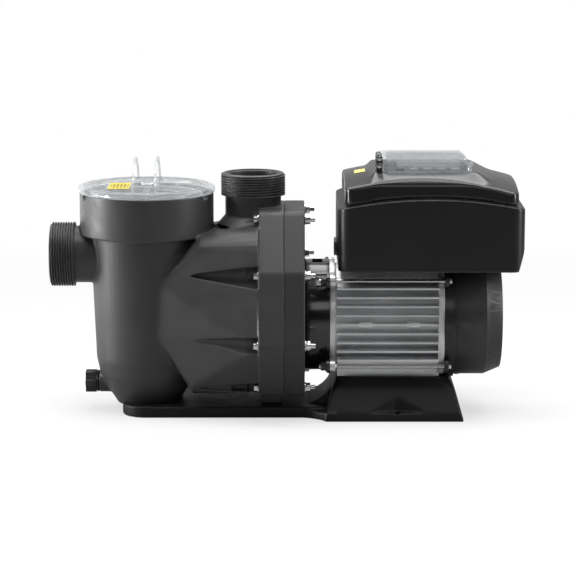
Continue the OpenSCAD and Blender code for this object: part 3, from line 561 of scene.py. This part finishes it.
def box_obj(name, x0, x1, y0, y1, z0, z1):
    v = [(x, y, z) for x in (x0, x1) for y in (y0, y1) for z in (z0, z1)]
    v = [tuple(c * MM for c in p) for p in v]
    f = [(0, 1, 3, 2), (4, 6, 7, 5), (0, 4, 5, 1), (2, 3, 7, 6), (0, 2, 6, 4), (1, 5, 7, 3)]
    return fix(new_obj(name, v, f))


def cyl_obj(name, r, h0, h1, origin, axis="Z", n=64):
    return lathe(name, [(0, h0), (r, h0), (r, h1), (0, h1)], n, tuple(c * MM for c in origin), axis)


def auto_smooth_group():
    ng = bpy.data.node_groups.new("auto_smooth", "GeometryNodeTree")
    ng.interface.new_socket("Geometry", in_out="INPUT", socket_type="NodeSocketGeometry")
    ng.interface.new_socket("Geometry", in_out="OUTPUT", socket_type="NodeSocketGeometry")
    i, o = ng.nodes.new("NodeGroupInput"), ng.nodes.new("NodeGroupOutput")
    a = ng.nodes.new("GeometryNodeSetShadeSmooth")
    a.domain = "FACE"
    b = ng.nodes.new("GeometryNodeSetShadeSmooth")
    b.domain = "EDGE"
    ang = ng.nodes.new("GeometryNodeInputMeshEdgeAngle")
    cmp = ng.nodes.new("FunctionNodeCompare")
    cmp.data_type = "FLOAT"
    cmp.operation = "GREATER_THAN"
    cmp.inputs[1].default_value = math.radians(32)
    ng.links.new(i.outputs[0], a.inputs["Geometry"])
    ng.links.new(a.outputs[0], b.inputs["Geometry"])
    ng.links.new(ang.outputs["Unsigned Angle"], cmp.inputs[0])
    ng.links.new(cmp.outputs[0], b.inputs["Selection"])
    b.inputs["Shade Smooth"].default_value = False
    ng.links.new(b.outputs[0], o.inputs[0])
    return ng


SMOOTH = auto_smooth_group()


def dress(node, key, width=0.0, segments=2, weld=2e-6):
    """Gives a CAD node its material, small edge radii and clean shading."""
    o = NODES[node]
    for a in list(o.data.attributes):
        if a.name == "custom_normal":
            o.data.attributes.remove(a)
    paint(o, key)
    mod(o, "WELD", merge_threshold=weld)
    if width:
        mod(o, "DECIMATE", decimate_type="DISSOLVE", angle_limit=math.radians(0.6))
        bevel(o, width, segments)
    m = o.modifiers.new("auto_smooth", "NODES")
    m.node_group = SMOOTH


def stand(o, body, key, *nodes, slot=None):
    paint(o, key)
    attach(o, body)
    if nodes:
        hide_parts(*nodes)
    return o


# ------------------------------------------------------------------ strainer housing

def thread_ring(name, crest, depth, pitch, length, r_in, origin, direction, lead_in=1.6, n=160):
    """A real helical thread on a sleeve, closed on the inside."""
    steps = int(length / 0.25)
    zs = np.linspace(0, length, steps + 1)
    verts = []
    for i in range(n):
        a = 2 * math.pi * i / n
        for z in zs:
            t = (z / pitch - i / n) % 1.0
            d = abs(t - 0.5)
            h = min(max((0.38 - d) / 0.24, 0), 1)
            h = h * h * (3 - 2 * h)
            env = max(min(max(1.2 - z, 0), 1), 0) + (1 - max(min(max(1.2 - z, 0), 1), 0)) * h
            h = env * min(max((length - z) / lead_in, 0), 1)
            r = crest - depth + depth * h
            if length - z < 1.0:
                r -= 0.5 * (1 - (length - z))
            verts.append((r * math.cos(a), r * math.sin(a), z))
        verts.append((r_in * math.cos(a), r_in * math.sin(a), length))
        verts.append((r_in * math.cos(a), r_in * math.sin(a), 0))
    k = len(zs) + 2
    faces = []
    for i in range(n):
        j = (i + 1) % n
        for q in range(k):
            w = (q + 1) % k
            faces.append((i * k + q, j * k + q, j * k + w, i * k + w))
    o = new_obj(name, np.array(verts) * MM, faces)
    rot = Vector((0, 0, 1)).rotation_difference(Vector(direction)).to_matrix().to_4x4()
    o.data.transform(Matrix.Translation(Vector(origin) * MM) @ rot)
    return smooth_shade(fix(o), 40)


def melt_facets(o):
    """Irons out the flat facets of the volute and of the pot's foot, but leaves ribs, channels and bosses crisp."""
    c = coords(o) * 1000.0
    x, y, z = c[:, 0], c[:, 1], c[:, 2]

    def band(v, lo, hi, soft):
        return np.clip((v - lo) / soft, 0, 1) * np.clip((hi - v) / soft, 0, 1)

    side = band(x, -139, -42, 5) * np.clip((np.abs(y) - 52) / 5, 0, 1)
    w = side * np.maximum(band(z, 107, 153, 6), band(z, 52, 82, 6))
    r = np.hypot(x - POT_X * 1000, y)
    foot = band(z, 13, 112, 5) * np.clip((r - 36) / 4, 0, 1) * np.clip((-146 - x) / 6, 0, 1)
    # soft fillet where the volute grows out of the pot
    crease = np.clip((74 - r) / 6, 0, 1) * np.clip((r - 52) / 4, 0, 1) * np.clip((x + 152) / 5, 0, 1) * band(z, 18, 200, 8)
    w = np.maximum(w, crease * np.clip((np.abs(y) - 20) / 6, 0, 1))
    boss = np.hypot(y, z - DRAIN_Z) < 21
    w = np.maximum(w, foot * ~(boss & (x < -190)))
    vg = o.vertex_groups.new(name="melt")
    q = np.round(w * 8).astype(int)
    for k in range(1, 9):
        ids = np.nonzero(q == k)[0]
        if len(ids):
            vg.add([int(i) for i in ids], k / 8, "REPLACE")
    mod(o, "SMOOTH", factor=0.5, iterations=70, vertex_group="melt")
    bake(o)
    smooth_shade(o, None)


def build_housing():
    o = cad_copy("strainer_housing", "strainer_housing_skin")
    c = coords(o)
    # the ribs of the simplified threads are pressed back to the root: real threads go on as a sleeve
    d = np.hypot(c[:, 1], c[:, 2] - 0.1836)
    m = (c[:, 0] < -0.2435) & (d > 0.0330)
    k = 0.0332 / d[m]
    c[m, 1] *= k
    c[m, 2] = 0.1836 + (c[m, 2] - 0.1836) * k
    c[:, 0] = np.where((c[:, 0] < -0.272), -0.2722, c[:, 0])
    d = np.hypot(c[:, 0] + 0.036, c[:, 1])
    m = (c[:, 2] > 0.2535) & (d > 0.0324) & (d < 0.045)
    k = 0.0326 / d[m]
    c[m, 0] = -0.036 + (c[m, 0] + 0.036) * k
    c[m, 1] *= k
    m = (c[:, 2] > 0.279) & (d < 0.045)
    c[m, 2] = 0.2792
    set_coords(o, c)
    fix(o, 2e-6)
    soften(o, 0.00115, 4)
    melt_facets(o)
    stand(o, "pump_body", "housing", "strainer_housing", slot="housing_plastic")
    t1 = thread_ring("suction_thread", 37.6, 2.3, 3.0, 28.2, 30.5, (-244.8, 0, 183.6), (-1, 0, 0))
    stand(t1, "pump_body", "housing", slot="housing_plastic")
    t2 = thread_ring("discharge_thread", 37.6, 2.3, 3.0, 25.4, 30.5, (-36, 0, 254.6), (0, 0, 1))
    stand(t2, "pump_body", "housing", slot="housing_plastic")


build_housing()

o = cad_copy("seal_plate", "seal_plate_skin")
soften(o, 0.0013, 4)
stand(o, "pump_body", "seal_plate", "seal_plate", slot="housing_plastic")


# ------------------------------------------------------------------ lid, label and basket

def arc_sweep(name, x, radius, cz, half_angle, w, h, seg=64):
    """A rounded bar bent over the lid in the YZ plane, flared at its feet."""
    verts, faces = [], []
    ring = 16
    for i in range(seg + 1):
        t = -half_angle + 2 * half_angle * i / seg
        flare = 1 + 0.9 * max(0, (abs(t) - (half_angle - 0.09)) / 0.09) ** 2
        for q in range(ring):
            a = 2 * math.pi * q / ring
            cu, su = math.cos(a), math.sin(a)
            dx = w / 2 * flare * math.copysign(abs(cu) ** 0.6, cu)
            dr = h / 2 * math.copysign(abs(su) ** 0.6, su)
            r = radius + dr
            verts.append((x + dx, r * math.sin(t), cz + r * math.cos(t)))
    for i in range(seg):
        for q in range(ring):
            w2 = (q + 1) % ring
            faces.append((i * ring + q, i * ring + w2, (i + 1) * ring + w2, (i + 1) * ring + q))
    faces.append(tuple(range(ring)))
    faces.append(tuple(range(seg * ring + ring - 1, seg * ring - 1, -1)))
    return fix(new_obj(name, np.array(verts) * MM, faces))


def build_lid():
    prof = [(0, 257.2), (61.5, 257.2), (63.5, 259.2), (67.2, 259.2), (67.2, 246), (72.5, 246), (72.5, 249.6), (69.8, 249.6),
            (69.8, 253.2), (72.5, 253.2), (72.5, 258.05), (79.9, 258.05), (79.9, 263.2), (78.4, 265.2), (75.8, 265.5),
            (75.2, 264.2), (73.8, 264.2), (73.2, 265.7), (70.6, 265.7), (69.8, 263.9), (67.8, 263.9), (67.0, 264.9),
            (64.8, 264.9), (63.2, 262.1), (62.2, 262.0), (58.4, 262.0), (58.0, 261.6), (56.8, 261.6), (56.4, 262.0), (0, 262.0)]
    rad = [0, .6, .6, .5, .4, .4, .3, .3, .3, .3, .3, .5, 1.0, 1.0, .5, .3, .3, .5, .5, .5, .5, .5, .6, .8, .4, .1, .1, .1, .1, 0]
    disc = lathe("lid_disc", rounded_profile(prof, rad, 3), 180, (POT_X, 0, 0))
    parts = [disc]
    half = math.acos((263.0 - 224) / 72.8)
    for s in (-1, 1):
        parts.append(arc_sweep("a", s * 12.8, 72.8, 224, half, 2.6, 3.6))
        parts[-1].data.transform(Matrix.Translation((POT_X, 0, 0)))
    for s in (-1, 1):
        for t in (-1, 1):
            b = lathe("b", rounded_profile([(0, 261), (3.1, 261), (2.7, 265.6), (0, 266.0)], [0, .2, 1.0, 0], 4), 28,
                      (POT_X + s * 12.8 * MM, t * 61.2 * MM, 0))
            parts.append(b)
    o = join("strainer_lid_clear", parts)
    smooth_shade(fix(o, 1e-8), 50)
    stand(o, "lid", "lid", "strainer_lid", slot="clear_lid")


build_lid()

# sticker with rounded corners, lying on the window
pts = rrect(-0.045, -0.020, -0.012, 0.040, 0.002, 5)
loops = []
for z in (0.26202, 0.26238):
    loops.append(np.c_[pts[:, 0] + POT_X, pts[:, 1], np.full(len(pts), z)])
o = loft("lid_sticker", loops)
stand(o, "lid", "lid_label", "lid_label", slot="label_yellow")


def lattice(profile, n, rows, hole_u, hole_v, skip=None):
    """A revolved wall of square holes: profile is [(r, z) bottom, (r, z) top]; returns verts and faces of the mid surface."""
    (r0, z0), (r1, z1) = profile
    us = []
    for i in range(n):
        us += [i / n, (i + hole_u) / n]
    vs = []
    for j in range(rows):
        vs += [j / rows, (j + 1 - hole_v) / rows]
    vs.append(1.0)
    verts, faces = [], []
    for v in vs:
        for u in us:
            a = 2 * math.pi * u
            r = r0 + (r1 - r0) * v
            verts.append((r * math.cos(a), r * math.sin(a), z0 + (z1 - z0) * v))
    k = len(us)
    for j in range(len(vs) - 1):
        for i in range(k):
            if i % 2 == 0 and j % 2 == 1:
                if skip is None or not skip(us[i], vs[j]):
                    continue
            faces.append((j * k + i, j * k + (i + 1) % k, (j + 1) * k + (i + 1) % k, (j + 1) * k + i))
    return verts, faces


def sheet(name, vf, thick):
    o = new_obj(name, np.array(vf[0]) * MM, vf[1])
    fix(o)
    mod(o, "SOLIDIFY", thickness=thick * MM, offset=0)
    return bake(o)


def build_basket():
    parts = []
    parts.append(sheet("w1", lattice([(70.0, 218.2), (70.0, 239.5)], 100, 5, 0.56, 0.56), 1.6))
    parts.append(sheet("w0", lattice([(64.3, 239.2), (64.3, 253.6)], 92, 4, 0.5, 0.5), 1.4))
    parts.append(lathe("collar", rounded_profile([(63.6, 216), (65.0, 216), (65.0, 239.8), (63.6, 239.8)], .3, 2), 144))
    parts.append(lathe("lip", rounded_profile([(63.6, 253.2), (65.0, 253.2), (65.4, 254.2), (65.2, 255.4), (63.4, 255.4), (63.3, 254.2)], .3, 2), 144))
    parts.append(sheet("w2", lattice([(50.0, 56.0), (58.6, 206.0)], 84, 30, 0.52, 0.55), 1.8))
    parts.append(sheet("w3", lattice([(39.0, 32.6), (49.3, 54.0)], 60, 5, 0.5, 0.5), 1.8))
    parts.append(lathe("rim", rounded_profile([(68.9, 239), (71.6, 239), (71.8, 240.3), (72.4, 240.3), (72.4, 243.4), (68.9, 243.4)],
                                              [.4, .4, .2, .5, .7, .7], 3), 144))
    parts.append(lathe("ledge", rounded_profile([(57.6, 205), (59.5, 205), (60.3, 215.2), (70.6, 215.2), (70.8, 218.9), (69.2, 218.9),
                                                 (68.8, 217.2), (58.4, 217.2)], .5, 3), 144))
    parts.append(lathe("toe", rounded_profile([(0, 30.2), (38.5, 30.2), (40.2, 33), (38.6, 33.6), (37, 32.4), (0, 32.4)],
                                              [0, 1, .4, .4, .4, 0], 3), 96))
    parts.append(lathe("belt", rounded_profile([(48.0, 52.6), (50.3, 52.6), (51.2, 57.2), (49.2, 57.2)], .5, 3), 96))
    for o in parts:
        o.data.transform(Matrix.Translation((POT_X, 0, 0)))
    h = arc_sweep("handle", 0, 69.5, 167, math.acos((209.5 - 167) / 69.5), 7.5, 4.4)
    h.data.transform(Matrix.Translation((POT_X, 0, 0)))
    parts.append(h)
    o = join("strainer_basket_mesh", parts)
    smooth_shade(o, 35)
    stand(o, "basket", "basket", "strainer_basket", slot="basket_plastic")


build_basket()


# ------------------------------------------------------------------ base

def chamfered(x0, x1, y0, y1, c):
    p = [(x0 + c, y0), (x1 - c, y0), (x1, y0 + c), (x1, y1 - c), (x1 - c, y1), (x0 + c, y1), (x0, y1 - c), (x0, y0 + c)]
    out = []
    for i in range(8):
        a, b = np.array(p[i], float), np.array(p[(i + 1) % 8], float)
        for t in range(4):
            out.append(a + (b - a) * t / 4)
    return np.array(out)


def build_base():
    o = cad_copy("base", "base_skin")
    soften(o, 0.0014, 7)
    stand(o, "pump_body", "base", "base", slot="base_plastic")


build_base()


# ------------------------------------------------------------------ controller

def raise_to_bezel(o, reach=0.024):
    """The deck rises in a soft hollow curve to the flat seat of the display cover."""
    c = coords(o)
    nrm = np.empty(len(o.data.vertices) * 3)
    o.data.vertices.foreach_get("normal", nrm)
    nz = nrm.reshape(-1, 3)[:, 2]
    dx = np.maximum(np.maximum((0.103 - c[:, 0]) * 3 + 0.006, c[:, 0] - 0.215), 0)
    dy = np.maximum(np.abs(c[:, 1]) - 0.054, 0)
    d = np.hypot(dx, dy) - 0.006
    top = 0.2879
    m = (c[:, 2] > 0.2725) & (nz > -0.2) & (d > -0.0008) & (d < reach) & (c[:, 2] < top)
    k = (1 - np.clip(d[m], 0, reach) / reach) ** 1.7
    c[m, 2] += (top - c[m, 2]) * k
    set_coords(o, c)


for node, key, it in (("controller_tub", "ctrl", 5), ("controller_cover", "ctrl_top", 15)):
    o = cad_copy(node, node + "_skin")
    if node == "controller_cover":
        soften(o, 0.0013, 1)
        raise_to_bezel(o)
    soften(o, 0.0013, it)
    stand(o, "pump_body", key, node, slot="controller_gloss")


# ------------------------------------------------------------------ pieces that keep their CAD shape

dress("lid_o_ring", "rubber")
dress("drain_plug", "black", 0.0006)
dress("drain_plug_o_ring", "rubber")
dress("housing_o_ring", "rubber")
dress("flange_bolts", "stainless", 0.0004)
dress("flange_nuts", "stainless", 0.0004)
dress("flange_washers", "stainless", 0.00015)
dress("diffuser", "housing", 0.0004)
dress("impeller", "impeller", 0.0003)
dress("impeller_screw", "stainless", 0.0003)
dress("seal_seat", "ceramic", 0.0002)
dress("seal_head", "rubber", 0.0002)
dress("seal_spring", "stainless")
dress("motor_bracket", "bracket", 0.0006, 3)
dress("bracket_screws", "stainless", 0.0003)
dress("front_endshield", "alu_cast", 0.0008, 3)
dress("front_bearing", "shaft", 0.0002)
dress("rear_bearing", "shaft", 0.0002)
dress("motor_shaft", "shaft", 0.0004)
dress("rotor_core", "core", 0.0003)
dress("stator_core", "core", 0.0003)
dress("stator_windings", "copper", 0.0015, 3)
dress("stator_frame", "alu_frame", 0.0005, 2)
dress("rear_endshield", "endshield", 0.0010, 3)
dress("tie_rods", "stainless", 0.0003)
dress("tie_rod_nuts", "black_steel", 0.0004)
dress("cooling_fan", "black", 0.0003)
dress("fan_cover", "fan", 0.0007, 3)
dress("fan_cover_screws", "stainless", 0.0003)
dress("base_screws", "stainless", 0.0003)
dress("motor_foot_screws", "stainless", 0.0003)
dress("tub_gasket", "rubber")
dress("controller_screws", "stainless", 0.0002)
dress("controller_mount_screws", "stainless", 0.0002)
dress("heat_sink", "alu_frame", 0.0002)
dress("circuit_board", "board", 0.0001)
dress("capacitors", "cap", 0.0006, 3)
dress("terminal_block", "terminal", 0.0004)
dress("display_panel", "panel", 0.0003)
dress("display_window", "window", 0.0002)
for k in ("mode", "up", "down", "timer"):
    dress("button_" + k, "key_grey", 0.0004, 3)
dress("button_power", "key_red", 0.0004, 3)
dress("display_cover", "flip", 0.0009, 3)
dress("hinge_bracket", "black", 0.0005, 2)
dress("hinge_pins", "stainless", 0.0004, 2)
dress("cable_gland", "black", 0.0005, 2)
dress("blanking_plug", "black", 0.0006, 2)
dress("controller_label", "ctrl_label")


# ------------------------------------------------------------------ stage

def stage():
    scene = bpy.context.scene
    # a level floor that fades to plain white away from the object
    n = 48
    verts = [(0, 0, -0.0003)]
    rings = [0.15, 0.3, 0.5, 0.8, 1.2, 2.0, 4.0, 9.0]
    for r in rings:
        for i in range(n):
            a = 2 * math.pi * i / n
            verts.append((r * math.cos(a), r * math.sin(a), -0.0003))
    faces = [(0, 1 + i, 1 + (i + 1) % n) for i in range(n)]
    for k in range(len(rings) - 1):
        for i in range(n):
            a, b = 1 + k * n, 1 + (k + 1) * n
            faces.append((a + i, b + i, b + (i + 1) % n, a + (i + 1) % n))
    floor = new_obj("floor", verts, faces)
    g = Graph("m_floor")
    g.link(g.mix(g.ramp(g.noise(1.3, 2), 0.3, 0.7), (0.88, 0.88, 0.88), (0.9, 0.9, 0.9)), g.bsdf.inputs["Base Color"])
    g.link(g.ramp(g.noise(6, 2), 0.3, 0.7, 0.55, 0.65), g.bsdf.inputs["Roughness"])
    g.bsdf.inputs["Specular IOR Level"].default_value = 0.1
    em = g.node("ShaderNodeEmission")
    em.inputs[0].default_value = (1, 1, 1, 1)
    ln = g.node("ShaderNodeVectorMath", operation="LENGTH")
    g.link(g.coord.outputs["Object"], ln.inputs[0])
    far = g.ramp(ln.outputs["Value"], 0.25, 1.3, FLOOR_GLOW, 1.0)
    lp = g.node("ShaderNodeLightPath")
    cam = lp.outputs["Is Camera Ray"]
    seen = g.math("MULTIPLY", far, cam)
    # white paper on the left throws light up at the pot
    fx = g.node("ShaderNodeSeparateXYZ")
    g.link(g.coord.outputs["Object"], fx.inputs[0])
    left = g.math("MULTIPLY", g.ramp(fx.outputs["X"], -0.85, -0.40, 1.0, 0.0), g.ramp(fx.outputs["Y"], -1.0, -0.4, 0.0, 1.0))
    left = g.math("MULTIPLY", left, g.math("SUBTRACT", 1.0, cam))
    unseen = g.math("MAXIMUM", g.math("MULTIPLY", g.math("SUBTRACT", 1.0, cam), FLOOR_BOUNCE), left)
    g.link(g.math("ADD", g.math("MULTIPLY", left, LEFT_PAPER), 1.0), em.inputs[1])
    mx = g.node("ShaderNodeMixShader")
    g.link(g.math("ADD", seen, unseen), mx.inputs[0])
    g.link(g.bsdf.outputs[0], mx.inputs[1])
    g.link(em.outputs[0], mx.inputs[2])
    dark = g.node("ShaderNodeBsdfDiffuse")
    dark.inputs[0].default_value = (0, 0, 0, 1)
    dim = g.node("ShaderNodeMixShader")
    g.link(g.math("MULTIPLY", g.math("SUBTRACT", 1.0, cam), FLOOR_DIM), dim.inputs[0])
    g.link(mx.outputs[0], dim.inputs[1])
    g.link(dark.outputs[0], dim.inputs[2])
    g.link(dim.outputs[0], g.out.inputs[0])
    floor.data.materials.append(g.mat)

    world = bpy.data.worlds.new("studio")
    scene.world = world
    world.use_nodes = True
    nt = world.node_tree
    nt.nodes.clear()
    link = nt.links.new
    out = nt.nodes.new("ShaderNodeOutputWorld")
    bg_cam = nt.nodes.new("ShaderNodeBackground")
    bg_cam.inputs[0].default_value = (1, 1, 1, 1)
    bg = nt.nodes.new("ShaderNodeBackground")
    tc = nt.nodes.new("ShaderNodeTexCoord")
    sep = nt.nodes.new("ShaderNodeSeparateXYZ")
    link(tc.outputs["Generated"], sep.inputs[0])
    # bright paper behind the object, dark room on the camera's side
    back = nt.nodes.new("ShaderNodeMapRange")
    back.interpolation_type = "SMOOTHSTEP"
    back.inputs["From Min"].default_value = 0.0
    back.inputs["From Max"].default_value = 0.6
    back.inputs["To Min"].default_value = WORLD_DARK
    back.inputs["To Max"].default_value = WORLD_BACK
    link(sep.outputs[1], back.inputs["Value"])
    link(back.outputs[0], bg.inputs[1])
    bg.inputs[0].default_value = (1, 1, 1, 1)
    lp = nt.nodes.new("ShaderNodeLightPath")
    mx = nt.nodes.new("ShaderNodeMixShader")
    link(lp.outputs["Is Camera Ray"], mx.inputs[0])
    link(bg.outputs[0], mx.inputs[1])
    link(bg_cam.outputs[0], mx.inputs[2])
    link(mx.outputs[0], out.inputs[0])

    def area(name, loc, target, sx, sy, power):
        l = bpy.data.lights.new(name, "AREA")
        l.shape = "RECTANGLE"
        l.size, l.size_y, l.energy = sx, sy, power
        o = bpy.data.objects.new(name, l)
        coll.objects.link(o)
        o.location = loc
        d = Vector(target) - Vector(loc)
        o.rotation_mode = "QUATERNION"
        o.rotation_quaternion = d.to_track_quat("-Z", "Y")
        return o

    for name, loc, target, sx, sy, power in LIGHTS:
        area(name, loc, target, sx, sy, power)

    cam = bpy.data.cameras.new("camera")
    cam.lens = 156.25
    cam.sensor_width = 36
    cam.clip_end = 100
    co = bpy.data.objects.new("camera", cam)
    coll.objects.link(co)
    co.location = (0.0047, -2.895, 0.653)
    d = Vector((0.0047, 0, 0.143)) - co.location
    co.rotation_mode = "QUATERNION"
    co.rotation_quaternion = d.to_track_quat("-Z", "Y")
    scene.camera = co
    scene.view_settings.view_transform = "Standard"
    scene.view_settings.look = "None"


stage()
